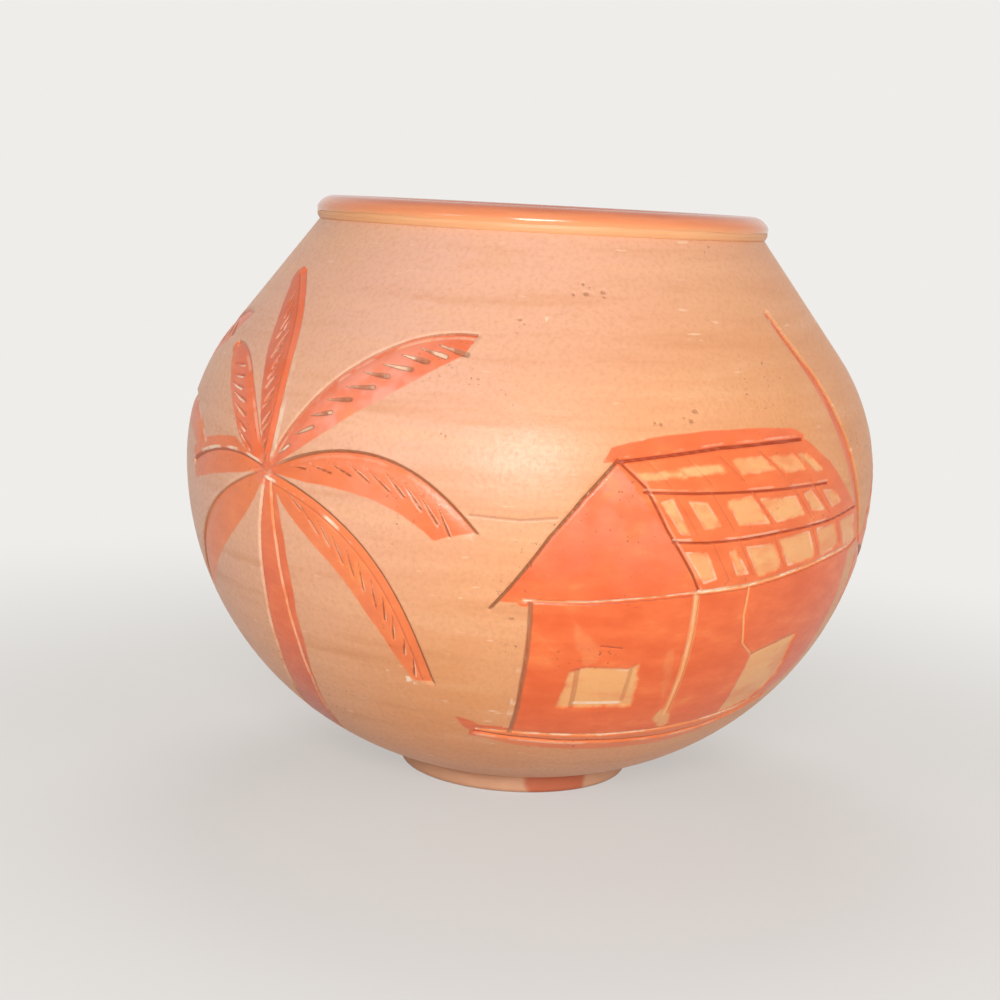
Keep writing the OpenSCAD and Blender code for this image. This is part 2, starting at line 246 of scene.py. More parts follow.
# palms: each frond is a rib that bends once, with the leaf on its lower side, in mm from the crown.
# opening and end shape the leaf, round and blunt its tip; rose is how pink it is, partly the slip's own pink
# and partly a painted highlight, tone how deep or light; fringe is slip brushed past the rib, strip a line
# along inside the rib, and dark deepens the leaf beyond it.
# rib gives its dirt and painted shade and their half width, then its chips and painted highlights and how far
# inside the rib they lie; chipHalf and chipTo widen those and end them along the rib.
# cuts are the gouges: how many, from where to where along the rib, the shares of the leaf's width that they
# run between at the crown and at the tip, their slant in mm at both, and tool: half width, depth, dirt and
# painted shade, chips and painted highlights and where these lie, in half widths
palms = {
    "places": [(-42.6, 57.75), (-103.4, 58.9)],
    "fronds": [
        {"bend": (11.8, 24.3), "tip": (27.1, 23.1), "width": 8.0, "opening": 4.6, "end": 0.4,
         "rose": 1.0, "tone": -0.1, "rib": (0.6, 0.13, 0.4, 0.45),
         "cuts": {"count": 10, "span": (0.07, 0.86), "crown": (0.36, 0.82), "tip": (0.24, 0.52),
                  "slant": (2.4, 4.0), "tool": (0.4, 0.5, 0.65, 0.8, 0.1)}},
        {"bend": (3, 19.5), "tip": (-12.5, 30.5), "width": 6.6, "opening": 3.6, "end": 0.5, "round": True,
         "rose": 0.35, "tone": -0.05, "dark": 0.4, "strip": 1.3,
         "rib": (0.1, 0.2, 0.7, -0.7), "chipHalf": 0.7, "chipTo": 0.55,
         "cuts": {"count": 15, "span": (0.08, 0.92), "crown": (0.36, 0.72), "tip": (0.34, 0.74),
                  "slant": (-2.0, -2.6), "tool": (0.34, 0.42, 0.55, 0.3, 1.2)}},
        {"bend": (-9.5, 18.7), "tip": (-20.5, 18), "width": 5.6, "opening": 8, "end": 0.3, "round": True,
         "rose": 0.3, "tone": 0.0, "rib": (0.25, 0.2, 0.3, 0.5),
         "cuts": {"count": 7, "span": (0.24, 0.86), "crown": (0.95, 0.58), "tip": (0.85, 0.5),
                  "slant": (-4.2, -4.2), "tool": (0.3, 0.36, 0.3, 1.0, 1.2)}},
        # on this frond the pale chips outside the rib are a painted highlight
        {"bend": (-10.8, 4.2), "tip": (-25.5, -2), "width": 4.0, "opening": 3.6, "end": 0.8, "fringe": 2.2,
         "rose": 0.1, "tone": -0.3, "rib": (0.7, 0.24, 0.9, -0.5), "cuts": None},
        {"bend": (-22.5, -7), "tip": (-28, -23.5), "width": 7.2, "opening": 7, "end": 0.4,
         "rose": 0.1, "tone": -0.35, "rib": (0.5, 0.16, 0.2, -0.6), "cuts": None},
        {"bend": (23.3, 11.9), "tip": (35.2, -5.4), "width": 6.4, "opening": 5.5, "end": 0.8, "blunt": 0.4,
         "rose": 0.3, "tone": -0.25, "rib": (0.7, 0.26, 0.15, 0.7),
         "cuts": {"count": 9, "span": (0.1, 0.84), "crown": (0.3, 0.8), "tip": (0.25, 0.6),
                  "slant": (3.4, 5.0), "tool": (0.22, 0.4, 0.7, 0.5, 1.3)}},
        {"bend": (27.2, -5.3), "tip": (24.7, -30.8), "width": 6.8, "opening": 7, "end": 0.4,
         "rose": 0.15, "tone": -0.3, "rib": (0.75, 0.24, 1.0, 1.0), "chipTo": 0.5, "strip": 1.4,
         "cuts": {"count": 11, "span": (0.1, 0.9), "crown": (0.42, 0.88), "tip": (0.22, 0.54),
                  "slant": (4.2, 3.8), "tool": (0.22, 0.4, 0.65, 0.6, 1.3)}},
    ],
    # on the second palm, the frond that reaches toward the first and the shorter one above it
    "reach": {"bend": (28, 13), "tip": (39.6, 0.9), "width": 4.5, "opening": 6, "end": 0.7, "cuts": None,
              "rib": (0.15, 0.2, 0.5, 0.5)},
    "short": {"tip": (28.4, 21.4), "bend": (11.6, 23.4), "width": 9.5, "end": 0.55, "rose": 0.3,
              "rib": (0.1, 0.1, 0.4, 0.4)},
    # a trunk's left edge, inner line and right edge, its rose, its tone at the foot, halfway and at the top,
    # which is painted shade, deeper at the foot and lighter at the top; a crown's radius, rose and tone
    "trunk": ([(-0.2, -1.5), (-1.5, -9), (-2.8, -20), (-4.9, -30), (-8.2, -38), (-13, -46)],
              [(1.4, -1.3), (2.3, -11.5), (2.4, -20), (1.9, -27.5), (0.4, -35), (-3.6, -44), (-6, -47)],
              [(2.4, -1.6), (4.2, -10), (4.5, -18.6), (3.2, -28), (1.1, -35), (-3.0, -44), (-5.4, -47)]),
    "trunkRose": 0.1,
    "trunkShade": (0.6, 0, -0.3),
    "crown": (2.4, 0.25, -0.15),
    "backPlace": (69.96, 46.9),
    "backFronds": [
        {"bend": (-11, 15), "tip": (-14.5, 38.5), "width": 2.8, "opening": 5, "end": 0.3, "tone": 0.0,
         "rib": (0.3, 0.16, 0.3, 0.6), "cuts": None},
        {"bend": (6, 17), "tip": (22, 22), "width": 5.0, "opening": 5, "end": 0.4},
        {"bend": (16, 11), "tip": (30, -4), "width": 6.0, "opening": 5, "end": 0.4},
        {"bend": (18, -3), "tip": (22, -24), "width": 5.6, "opening": 5, "end": 0.35},
    ],
    "backTrunk": ([(-0.6, -2), (3.5, -16), (6, -33)], None, [(2, -2), (8.5, -16), (15, -33)]),
    "backCrown": (2.2, 0.1, -0.1),
    # cuts along ribs, strips, and a trunk's edge and inner line: wall, slope and depth, then the marks
    "ribCut": (0.35, 2.2, 0.45),
    "stripCut": (0.3, 0.3, 0.25),
    "stripDirtAndShade": (0.35, 0.13, 0),
    "trunkCuts": ((0.4, 0.4, 0.42, (0.5, 0.14, 0.15), (0.35, 0.18, -0.25)),
                  (0.36, 0.36, 0.4, (0.5, 0.13, 0.15), (0.35, 0.16, -0.2), (0.4, 0.18, -0.2))),
    "plainRib": (0.6, 0.22, 0.3, 0.6),
    "plainCuts": {"count": 8, "span": (0.14, 0.86), "crown": (0.3, 0.75), "tip": (0.25, 0.6),
                  "slant": (2.6, 3.4), "tool": (0.28, 0.4, 0.6, 0.4, 1.2)},
}

# hut: outlines and lines in mm, right of its front corner and above base.
# a line's dirt and painted shade, chips and painted highlights, and bare clay are given as share, half width
# and how far to its left; inSlip lines are cut through a band of slip, olive dirt and shade is duller, chips
# may start part of the way along
hut = {
    "turn": 28,
    "base": -0.4,
    "bandHalf": 0.9,
    # the rose of a field is partly the slip's own pink and partly a painted highlight
    "fields": [  # outline, rose at its foot and top, tone
        ([(-30.6, 42.4), (-25, 52.9), (-20.7, 58.9), (-15.5, 64.5), (-7.8, 54.2), (-0.9, 44.4),
          (-9.9, 43.5), (-18.7, 42.8), (-25.9, 42.8)], (0.0, 0.4), 0.05),
        ([(-26.5, 42.8), (-18.7, 42.8), (-9.9, 43.5), (-1.2, 44.1), (-0.5, 37.9), (0.2, 29.9), (0.9, 19.1),
          (-7.8, 18.4), (-15.5, 18.5), (-22.3, 18.9), (-24.4, 27.6), (-25.5, 35.7)], (0.0, 0.0), 0.0),
        ([(-1.2, 44.1), (7.5, 44.7), (16, 45.9), (25.2, 47.3), (34.4, 48.4), (35.2, 40), (33.4, 33),
          (31.3, 27), (24.2, 22.2), (13, 19.9), (0.9, 19.1), (0.2, 29.9), (-0.5, 37.9)], (0.0, 0.0), 0.0),
        ([(-15.5, 64.4), (1.2, 66.4), (19.4, 67.1), (25.5, 63.2), (31.2, 58.2), (36.6, 53.1), (37.4, 49.6),
          (34.5, 48.4), (25.2, 47.3), (16, 45.9), (7.5, 44.7), (-0.8, 44.2), (-7.8, 54.2)], (0.0, 0.0), -0.2),
        ([(-17.8, 64.1), (-16.4, 66.4), (-10.9, 67.8), (-2.3, 68.8), (8.1, 69.2), (16.8, 68.8), (19.9, 67.6),
          (11.4, 66.9), (1.2, 66.4), (-8.9, 65.2)], (0.0, 0.1), -0.1),
        ([(-26.6, 18.9), (-21.8, 18.8), (-15.5, 18.4), (-7.8, 18.3), (0.4, 18.7), (8.8, 19.5), (17.1, 20.8),
          (24.5, 22.6), (23.5, 21.6), (18.3, 19.2), (11.9, 16.9), (3.1, 15.3), (-4.5, 15.0), (-13, 15.2),
          (-21, 16.1), (-25.8, 17.4)], (0.0, 0.1), -0.35),
        ([(-30.6, 21.3), (-27.6, 20.4), (-26.2, 19.2), (-26.2, 17.8), (-28.4, 19.1)], (0.1, 0.1), 0.3),
    ],
    # outline, share of the slip taken off, depth: window, doorway, corner's foot, two brush strokes;
    # how soft their sides are, how much less they need fine faces than a cut, how far past they are marked
    "scrapedEdge": {"soft": 0.5, "ease": 0.2, "past": 0.7},
    "scraped": [
        ([(-18.2, 30.9), (-15.8, 31.9), (-9.3, 31.5), (-8, 32.3), (-6.9, 28.1), (-6.2, 24.5),
          (-17.9, 24.3)], 1.0, 0.18),
        ([(13.6, 32.2), (18.5, 33.5), (23.6, 34.5), (24.2, 26.4), (20, 22), (13.4, 20.6)], 1.0, 0.18),
        ([(-0.7, 21.2), (-0.3, 23.3), (1.8, 22.4), (3, 19.9), (2, 18.9)], 0.9, 0.05),
        ([(-19.8, 39.9), (-17.6, 37.6), (-15, 35.9), (-14.5, 32.7), (-16.3, 32.3), (-19, 36.6)], 0.2, 0),
        ([(-4.1, 34.9), (-2.9, 34.9), (-1.3, 29.7), (-0.8, 24.5), (-2.7, 28.3)], 0.2, 0),
    ],
    "lines": {
        "gableLeft": {"path": [(-31.4, 41.2), (-29.2, 45.2), (-25, 52.9), (-20.7, 58.9), (-15.6, 64.6)],
                      "half": 0.44, "depth": 0.45, "dirtAndShade": (0.75, 0.27, 0)},
        "frontLeft": {"path": [(-26.3, 42.4), (-25.4, 36.2), (-24.3, 28.6), (-22.1, 18.6)],
                      "half": 0.5, "depth": 0.4, "dirtAndShade": (0.6, 0.34, 0), "olive": 1,
                      "chipAndHighlight": (1.3, 0.45, -0.7), "chipFrom": 0.5},
        "gableRight": {"path": [(-15.5, 64.4), (-11.5, 60.6), (-7.8, 54.2), (-2.6, 47.1), (-0.9, 44.3)],
                       "half": 0.36, "depth": 0.38, "dirtAndShade": (0.8, 0.2, 0),
                       "chipAndHighlight": (0.2, 0.18, 0.4), "inSlip": True},
        "eaveFront": {"path": [(-27.4, 42.8), (-25.9, 42.8), (-18.7, 42.8), (-9.9, 43.5), (-0.9, 44.2)],
                      "half": 0.4, "depth": 0.35, "dirtAndShade": (0.55, 0.13, -0.3), "chipAndHighlight": (0.8, 0.2, 0.15),
                      "bare": (0.6, 0.2, 0.1), "inSlip": True},
        "eaveSide": {"path": [(-0.9, 44.2), (7.5, 44.7), (16, 45.9), (25.2, 47.3), (34.5, 48.4),
                              (37.4, 49.4)],
                     "half": 0.44, "depth": 0.35, "dirtAndShade": (0.5, 0.13, -0.4), "chipAndHighlight": (0.9, 0.32, 0.15),
                     "bare": (0.8, 0.36, 0.1), "inSlip": True},
        "ridge": {"path": [(-15.8, 64.3), (-8.9, 65.2), (1.2, 66.4), (11.4, 66.9), (18.4, 67.1)],
                  "half": 0.46, "depth": 0.45, "dirtAndShade": (0.85, 0.27, 0),
                  "chipAndHighlight": (0.3, 0.2, 0.6), "inSlip": True},
        "courseHigh": {"path": [(-11.7, 59.9), (-3, 59.7), (7, 59.7), (15, 59.8), (24.6, 59.9)],
                       "half": 0.36, "depth": 0.36, "dirtAndShade": (0.75, 0.22, 0),
                       "chipAndHighlight": (0.25, 0.2, 0.45), "inSlip": True},
        "courseLow": {"path": [(-6.6, 52.3), (-0.7, 52.1), (5.4, 52.3), (14.6, 53), (25.8, 53.7),
                               (34.8, 54.9)],
                      "half": 0.36, "depth": 0.36, "dirtAndShade": (0.75, 0.22, 0),
                      "chipAndHighlight": (0.4, 0.22, 0.45), "inSlip": True},
        "corner": {"path": [(-1.3, 43.8), (-0.6, 37.9), (0.1, 30.4), (0.8, 22.4)],
                   "half": 0.5, "depth": 0.32, "dirtAndShade": (0.4, 0.12, 0.42), "chipAndHighlight": (0.3, 0.25, -0.1),
                   "bare": (0.85, 0.6, 0), "inSlip": True},
        "post": {"path": [(8.6, 44.6), (8.9, 39.6), (10.6, 34.6), (13.6, 32.2)],
                 "half": 0.35, "depth": 0.3, "dirtAndShade": (0.3, 0.1, -0.25), "bare": (0.85, 0.2, 0)},
        "doorTop": {"path": [(13.6, 32.2), (18.5, 33.5), (23.6, 34.5)],
                    "half": 0.4, "depth": 0.3, "dirtAndShade": (0.45, 0.2, 0)},
        # the window's dark sides are painted shade and its pale top and foot painted highlights, as of a
        # raised inner panel
        "windowLeft": {"path": [(-17.2, 31.3), (-15.8, 24.5)], "half": 0.55, "depth": 0.3,
                       "dirtAndShade": (0.38, 0.4, 0)},
        "windowRight": {"path": [(-8.8, 31.1), (-8.2, 25.6)], "half": 0.5, "depth": 0.3,
                        "dirtAndShade": (0.32, 0.36, 0)},
        "windowTop": {"path": [(-16.6, 31.5), (-15.7, 31.7), (-9.2, 31.2)], "half": 0.3, "depth": 0.12,
                      "chipAndHighlight": (0.8, 0.26, 0)},
        "windowFoot": {"path": [(-15.5, 25.1), (-8.2, 25.1)], "half": 0.45, "depth": 0.15,
                       "chipAndHighlight": (0.9, 0.28, 0)},
        "scratch": {"path": [(-14.8, 35.6), (-11.4, 35.2)], "half": 0.25, "depth": 0.2,
                    "dirtAndShade": (0.75, 0.13, 0)},
        "groundGroove": {"path": [(-26.6, 18.2), (-21.7, 17.6), (-14, 17), (-5.7, 16.9), (3, 17.1),
                                  (10.6, 18.1), (18, 19.8), (24, 22)],
                         "half": 0.42, "depth": 0.42, "dirtAndShade": (0.6, 0.17, 0),
                         "chipAndHighlight": (0.35, 0.2, -0.5), "inSlip": True},
        "wallFoot": {"path": [(-26.6, 18.9), (-21.8, 18.8), (-15.5, 18.5), (-7.8, 18.4), (0.4, 18.8),
                              (8.8, 19.6), (17.1, 20.8), (24.5, 22.6)],
                     "half": 0.36, "depth": 0.25, "chipAndHighlight": (0.7, 0.25, 0),
                     "bare": (0.5, 0.24, 0), "inSlip": True},
        "wheelLine": {"path": [(-35.4, 55.5), (-29, 55.2), (-24.2, 55.8)], "half": 0.4, "depth": 0.1,
                      "dirtAndShade": (0.3, 0.22, 0)},
    },
    # lines between the courses; the pale scraped tiles of each course, from where to where along and down it,
    # how far their corners stray and the chips along their edges; and the joints between them
    "slopes": [((-15.5, 64.4), (19.4, 67.1)), ((-11.5, 60), (26.8, 62)),
               ((-6.6, 52.5), (34.8, 54.7)), ((-0.8, 44.2), (37.4, 49.6))],
    "tiles": [[(0.03, 0.22, 0.42, 0.62), (0.22, 0.42, 0.35, 0.57), (0.49, 0.66, 0.26, 0.68),
               (0.7, 0.83, 0.32, 0.81), (0.87, 0.92, 0.36, 0.93)],
              [(0.04, 0.08, 0.2, 0.86), (0.15, 0.22, 0.28, 0.8), (0.31, 0.44, 0.28, 0.8),
               (0.48, 0.65, 0.36, 0.82), (0.71, 0.77, 0.35, 0.75), (0.84, 0.91, 0.42, 0.75)],
              [(0.03, 0.1, 0.25, 0.82), (0.2, 0.24, 0.3, 0.8), (0.29, 0.42, 0.3, 0.93),
               (0.46, 0.63, 0.23, 0.9), (0.68, 0.81, 0.22, 0.92), (0.86, 0.97, 0.2, 0.97)]],
    "tileDepth": 0.12,
    "stray": (0.006, 0.03),
    "tileChips": [(0.1, 0.2, 0), (0.26, 0.2, 0), (0.42, 0.2, 0)],
    "joints": [(0.12, 0.3, 0.46, 0.68), (0.11, 0.27, 0.46, 0.68, 0.8), (0.15, 0.27, 0.44, 0.66, 0.83)],
    "jointCut": (0.3, 0.3, 0.15, (0.2, 0.14, 0)),
}

# pits in the clay, with their half width, depth, and dirt and painted shade, and pale scuffs, with their half
# width and height, each at a turn in degrees and a height in mm
knocks = {
    "pitHalf": 0.26,
    "pitDepth": 0.2,
    "pitDirtAndShade": 0.5,
    "pits": [(6.8, 87.5), (8.8, 89.1), (10.1, 88.7), (9.3, 87.7), (10.5, 87.6), (12.7, 88), (12.8, 87.3),
             (18.7, 69.6), (19.7, 69.4), (23.6, 70.4), (24.8, 69.9), (26.1, 71), (25.6, 71.3),
             (-13.1, 66.6), (-12.4, 66.3), (-3, 83.5), (-2.2, 82.9)],
    "scuffs": [(-12.7, 68.4, 0.9, 0.5), (2, 83.8, 0.7, 0.5), (-9.3, 41.7, 1.2, 0.5), (-22.2, 27.6, 1.4, 0.6),
               (-19, 27, 0.8, 0.6), (-17.6, 26.1, 0.9, 0.5), (51.7, 84.6, 0.5, 0.9)],
}


def bentLine(bend, tip, pieces=24):
    s = np.linspace(0, 1, pieces + 1)[:, None]
    return 2 * s * (1 - s) * np.array(bend) + s * s * np.array(tip)


# distance to the left of a line, the share of it passed, and how far past its ends
def followLine(x, z, line):
    line = np.asarray(line, float)
    count = len(line) - 1
    nearest = np.full(x.shape, np.inf)
    across, share, past = np.zeros((3,) + x.shape)
    for i in range(count):
        step = line[i + 1] - line[i]
        length = math.hypot(*step)
        along = ((x - line[i][0]) * step[0] + (z - line[i][1]) * step[1]) / length
        left = ((z - line[i][1]) * step[0] - (x - line[i][0]) * step[1]) / length
        inside = np.clip(along, 0, length)
        reach = np.hypot(along - inside, left)
        over = np.maximum(-along if i == 0 else 0, along - length if i == count - 1 else 0)
        over = np.maximum(over, 0)
        closer = reach < nearest
        across = np.where(closer, np.where(over > 0, left, np.copysign(reach, left)), across)
        share = np.where(closer, (i + inside / length) / count, share)
        past = np.where(closer, over, past)
        nearest = np.minimum(nearest, reach)
    return across, share, past


# distance inside an outline, below zero outside it
def insideOutline(x, z, outline):
    within = np.zeros(x.shape, bool)
    for (x0, z0), (x1, z1) in zip(outline, outline[1:] + outline[:1]):
        if z0 != z1:
            within ^= ((z0 > z) != (z1 > z)) & (x < (x1 - x0) * (z - z0) / (z1 - z0) + x0)
    across, _, past = followLine(x, z, outline + outline[:1])
    return np.where(within, 1, -1) * np.hypot(across, past)


# how far the sheet keeps count: gaps in half widths of a line, distances inside an edge in mm
farGap, farEdge = 9.0, 3.0


# what the potter's brush and tool left at each point of the wall, with the painted shade and highlights of
# its cuts
def newSheet(points):
    plain = ("depth", "burr", "rose", "tone", "worn", "olive", "dirtAndShade", "chipAndHighlight", "bare")
    sheet = {name: np.zeros(len(points)) for name in plain}
    sheet.update({name: np.full(len(points), farGap) for name in ("dirtAndShadeGap", "chipAndHighlightGap", "bareGap")})
    sheet.update({name: np.full(len(points), -farEdge) for name in ("slip", "patch")})
    sheet.update(points=points, near=np.full(len(points), np.inf))
    return sheet


# turns the sheet to face a drawing: x to its right and z above its base, in mm
def faceDrawing(sheet, turn, baseZ):
    points = sheet["points"]
    angle = np.arctan2(points[:, 0], -points[:, 1]) - math.radians(turn)
    sheet["seen"] = seen = np.nonzero(np.cos(angle) > 0.3)[0]
    sheet["x"] = (np.hypot(points[:, 0], points[:, 1]) * np.sin(angle) / mm)[seen]
    sheet["z"] = points[seen, 2] / mm - baseZ


def raiseTo(sheet, name, values):
    sheet[name][sheet["seen"]] = np.maximum(sheet[name][sheet["seen"]], values)


def touch(sheet, distance):
    sheet["near"][sheet["seen"]] = np.minimum(sheet["near"][sheet["seen"]], np.abs(distance))


# how much less an edge of slip needs fine faces than a cut, and how far past that edge its tint goes, in mm
brush = {"ease": 0.45, "tintPast": 0.4}


def paint(sheet, inside, rose, tone):
    raiseTo(sheet, "slip", inside)
    touch(sheet, np.abs(inside) + brush["ease"])
    for name, value in (("rose", rose), ("tone", tone)):
        sheet[name][sheet["seen"]] = np.where(inside > -brush["tintPast"], value, sheet[name][sheet["seen"]])


# dirt and painted shade, chips and painted highlights, or bare clay along a line, kept as the distance from
# it in half widths
def mark(sheet, kind, across, past, setting, olive=0):
    if setting is None:
        return
    share, half, left = setting
    gap = np.minimum(np.hypot(across - left, past) / half, farGap)
    seen = sheet["seen"]
    closer = gap < sheet[kind + "Gap"][seen]
    sheet[kind][seen] = np.where(closer, share, sheet[kind][seen])
    sheet[kind + "Gap"][seen] = np.where(closer, gap, sheet[kind + "Gap"][seen])
    if kind == "dirtAndShade":
        sheet["olive"][seen] = np.where(closer, olive, sheet["olive"][seen])


# how far a cut runs out, the half width that counts as on it, and its burr: share of the depth,
# how far past the wall, and spread
blade = {"runOut": 0.5, "core": 0.25, "burr": 0.06, "burrPast": 0.2, "burrSpread": 0.25}


# a cut with a wall on one side and a slope on the other, and clay pushed up beyond the wall
def cut(sheet, across, past, wall, slope, depth, dirtAndShade=None, chipAndHighlight=None, bare=None, olive=0):
    keep = np.clip(1 - past / blade["runOut"], 0, 1)
    rise = np.clip(1 + across / wall, 0, 1)
    run = np.clip(1 - across / slope, 0, 1)
    raiseTo(sheet, "depth", keep * depth * np.where(across < 0, rise * rise * (3 - 2 * rise), run ** 1.5))
    swell = np.exp(-((across + wall + blade["burrPast"]) / blade["burrSpread"]) ** 2)
    raiseTo(sheet, "burr", blade["burr"] * keep * depth * swell)
    for kind, setting in (("dirtAndShade", dirtAndShade), ("chipAndHighlight", chipAndHighlight), ("bare", bare)):
        mark(sheet, kind, across, past, setting, olive)
    touch(sheet, np.hypot(np.maximum(np.abs(across) - blade["core"], 0), past))


def drawFrond(sheet, frond):
    side = 1 if frond["tip"][0] < 0 else -1
    rib = bentLine(frond["bend"], frond["tip"])
    across, share, past = followLine(sheet["x"], sheet["z"], rib)
    across = across * side

    def leafWidth(s):
        return frond["width"] * (1 - (1 - s) ** frond["opening"]) * (1 - (1 - frond["end"]) * s ** 5)

    fringe = frond.get("fringe", 0) * np.clip(share * 4 - 0.6, 0, 1) + 0.1
    inside = np.minimum(across + fringe, leafWidth(share) - across)
    if "blunt" in frond:
        length = np.linalg.norm(np.diff(rib, axis=0), axis=1).sum()
        inside = np.minimum(inside, (1 - share) * length - past - frond["blunt"] * across)
    tipHalf = leafWidth(1) / 2
    beyond = tipHalf - np.hypot(across - tipHalf, past) if frond.get("round") else np.minimum(inside, -past)
    # pinker along the middle and away from the rib, partly the slip's own pink and partly a painted highlight
    rose = frond.get("rose", 0.15) * np.sin(math.pi * np.clip(share, 0.08, 0.94)) ** 0.7
    rose = rose * np.clip(0.45 + 0.6 * across / frond["width"], 0.3, 1)
    tone = frond.get("tone", -0.3) + frond.get("dark", 0) * (across > frond.get("strip", 0))
    paint(sheet, np.where(past > 0, beyond, inside), rose, tone)
    dirtAndShade, half, chipAndHighlight, chipAndHighlightAt = frond.get("rib", palms["plainRib"])
    chipAndHighlight = chipAndHighlight * np.clip((frond.get("chipTo", 2) - share) * 5, 0, 1)
    wall, slope, depth = palms["ribCut"]
    cut(sheet, across, past, wall, slope, depth * np.clip(0.3 + share * 8, 0, 1),
        (dirtAndShade * np.clip(share * 9, 0.3, 1), half, -0.1), (chipAndHighlight, frond.get("chipHalf", 0.28), chipAndHighlightAt))
    if "strip" in frond:
        wall, slope, depth = palms["stripCut"]
        cut(sheet, across - frond["strip"], past, wall, slope, depth * np.clip(share * 6, 0, 1),
            palms["stripDirtAndShade"])
    cuts = frond.get("cuts", palms["plainCuts"])
    if not cuts:
        return
    half, depth, dirtAndShade, chipAndHighlight, chipAndHighlightAt = cuts["tool"]
    dirtAndShadeHalf = half * (0.6 if chipAndHighlightAt > 1 else 0.95)
    pieces = len(rib) - 1
    for s in np.linspace(*cuts["span"], cuts["count"]):
        i = min(int(s * pieces), pieces - 1)
        direction = (rib[i + 1] - rib[i]) / np.linalg.norm(rib[i + 1] - rib[i])
        spot = rib[i] + (rib[i + 1] - rib[i]) * (s * pieces - i)
        toLeaf = side * np.array((-direction[1], direction[0])) * leafWidth(s)
        near, far, ahead = ((1 - s) * a + s * b for a, b in
                            zip(cuts["crown"] + cuts["slant"][:1], cuts["tip"] + cuts["slant"][1:]))
        wobble = math.sin(s * 43 + frond["width"])  # no two strokes alike
        start = spot + toLeaf * (near + 0.03 * wobble)
        end = spot + toLeaf * (far + 0.04 * wobble) + direction * (ahead + 0.3 * wobble)
        a, t, p = followLine(sheet["x"], sheet["z"], [start, end])
        grow = 0.3 + 0.7 * np.clip(t * 1.5, 0, 1)  # pointed where the tool went in
        cut(sheet, a / grow, p, half, half, depth * grow,
            (dirtAndShade, dirtAndShadeHalf, 0), (chipAndHighlight, half * 0.55, -side * half * chipAndHighlightAt), olive=1)


def drawTrunk(sheet, left, inner, right):
    x, z = sheet["x"], sheet["z"]
    # painted shade: the trunk's slip deeper toward its foot and lighter toward its top
    tone = np.interp(z, (left[-1][1], left[-1][1] / 2, 0), palms["trunkShade"])
    paint(sheet, insideOutline(x, z, left + right[::-1]), palms["trunkRose"], tone)
    for line, settings in zip((left, inner), palms["trunkCuts"]):
        if line:
            across, _, past = followLine(x, z, line)
            cut(sheet, across, past, *settings)


def drawPalm(sheet, place, trunk, fronds, crown):
    faceDrawing(sheet, *place)
    drawTrunk(sheet, *trunk)
    for frond in fronds:
        drawFrond(sheet, frond)
    radius, rose, tone = crown
    paint(sheet, radius - np.hypot(sheet["x"], sheet["z"]), rose, tone)


def drawHut(sheet):
    faceDrawing(sheet, hut["turn"], hut["base"])
    x, z = sheet["x"], sheet["z"]
    for outline, rose, tone in hut["fields"]:
        heights = [point[1] for point in outline]
        paint(sheet, insideOutline(x, z, outline), np.interp(z, (min(heights), max(heights)), rose), tone)

    def roofPoint(row, s, u):
        top, low = (np.array(hut["slopes"][row + k]) for k in (0, 1))
        return tuple((1 - u) * ((1 - s) * top[0] + s * top[1]) + u * ((1 - s) * low[0] + s * low[1]))

    patches = list(hut["scraped"])
    for row, tiles in enumerate(hut["tiles"]):
        for k, (s0, s1, u0, u1) in enumerate(tiles):
            ds = hut["stray"][0] * math.sin(k * 2.3 + row)  # cut by eye
            du = hut["stray"][1] * math.sin(k * 3.1 + 2 * row)
            corners = [roofPoint(row, s, u) for s, u in (
                (s0 - ds, u0 + du), (s1 + ds, u0 - du), (s1 - ds, u1 + du), (s0 + ds, u1 - du / 2))]
            patches.append((corners, 0.9 + 0.1 * math.sin(k * 1.7 + 2 * row), hut["tileDepth"]))
            mark(sheet, "chipAndHighlight", insideOutline(x, z, corners), 0, hut["tileChips"][row])
        for s in hut["joints"][row]:
            across, _, past = followLine(x, z, [roofPoint(row, s, 0.1), roofPoint(row, s, 0.9)])
            cut(sheet, across, past, *hut["jointCut"])
    edge = hut["scrapedEdge"]
    for outline, share, depth in patches:
        inside = insideOutline(x, z, outline)
        sheet["worn"][sheet["seen"]] = np.where(inside > -edge["past"], share, sheet["worn"][sheet["seen"]])
        raiseTo(sheet, "patch", inside)
        raiseTo(sheet, "depth", depth * np.clip(0.5 + inside / edge["soft"], 0, 1))
        touch(sheet, np.abs(inside) + edge["ease"])
    for line in hut["lines"].values():
        across, share, past = followLine(x, z, line["path"])
        if "inSlip" in line:
            raiseTo(sheet, "slip", hut["bandHalf"] - np.hypot(across, past * 1.5))
        chipAndHighlight = line.get("chipAndHighlight")
        if "chipFrom" in line:
            chipAndHighlight = (chipAndHighlight[0] * np.clip((share - line["chipFrom"]) * 5, 0, 1),) + chipAndHighlight[1:]
        cut(sheet, across, past, line["half"], line["half"], line["depth"],
            line.get("dirtAndShade"), chipAndHighlight, line.get("bare"), line.get("olive", 0))


def drawKnocks(sheet):
    for i, (turn, z) in enumerate(knocks["pits"]):
        faceDrawing(sheet, turn, z)
        size = knocks["pitHalf"] * (0.8 + 0.4 * math.sin(i * 2.7))
        away = np.hypot(sheet["x"] * (0.75 + 0.25 * math.sin(i * 1.9)), sheet["z"])
        raiseTo(sheet, "depth", knocks["pitDepth"] * np.clip(1.3 - away / size, 0, 1))
        mark(sheet, "dirtAndShade", away, 0, (knocks["pitDirtAndShade"], size, 0))
        touch(sheet, away)
    for turn, z, wide, tall in knocks["scuffs"]:
        faceDrawing(sheet, turn, z)
        mark(sheet, "chipAndHighlight", np.hypot(sheet["x"] / wide, sheet["z"] / tall), 0, (1.0, 1.0, 0))


